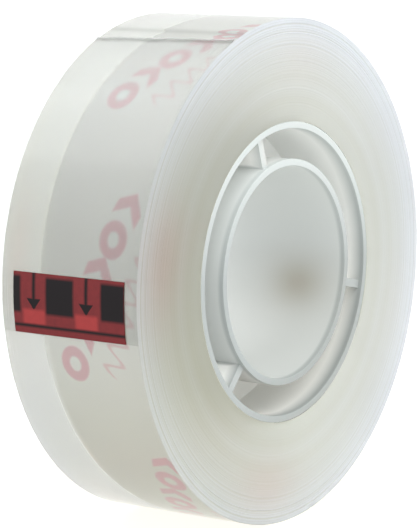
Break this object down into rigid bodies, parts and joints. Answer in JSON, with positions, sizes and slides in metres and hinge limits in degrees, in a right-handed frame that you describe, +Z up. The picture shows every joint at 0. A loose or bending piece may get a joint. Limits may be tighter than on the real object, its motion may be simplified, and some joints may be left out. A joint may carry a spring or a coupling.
{
  "type": "adhesive tape roll",
  "caption": "Refill roll of clear adhesive tape on a moulded core, with a starter tab on the film's free end that lifts off the roll.",
  "frame": {"origin": "centre of the core's bore, midway between the two side faces", "axes": "+X along the bore's axis towards the right-hand side face, -Y the front of the tread where the film's end and its tab lie, +Z up with the roll standing on its tread"},
  "size_m": [0.019, 0.0607, 0.0602],
  "materials": {
    "milky_plastic": "translucent milky injection moulding, satin",
    "printed_band": "pale band with a pink print of plain marks",
    "clear_film": "clear glossy film on its tread, milky at the cut side faces",
    "red_tab": "red tab with a plain dark check, slight gloss"
  },
  "bodies": {
    "roll": {"core": "milky_plastic", "core_band": "printed_band", "tape_windings": "clear_film"},
    "film_end": {"tape_end": "clear_film", "starter_tab": "red_tab"}
  },
  "joints": [
    {"name": "end_peel", "type": "hinge", "parent": "roll", "child": "film_end", "pos_m": [0, -0.01176, 0.02774], "axis": [-1, 0, 0], "range_deg": [0, 120]}
  ]
}
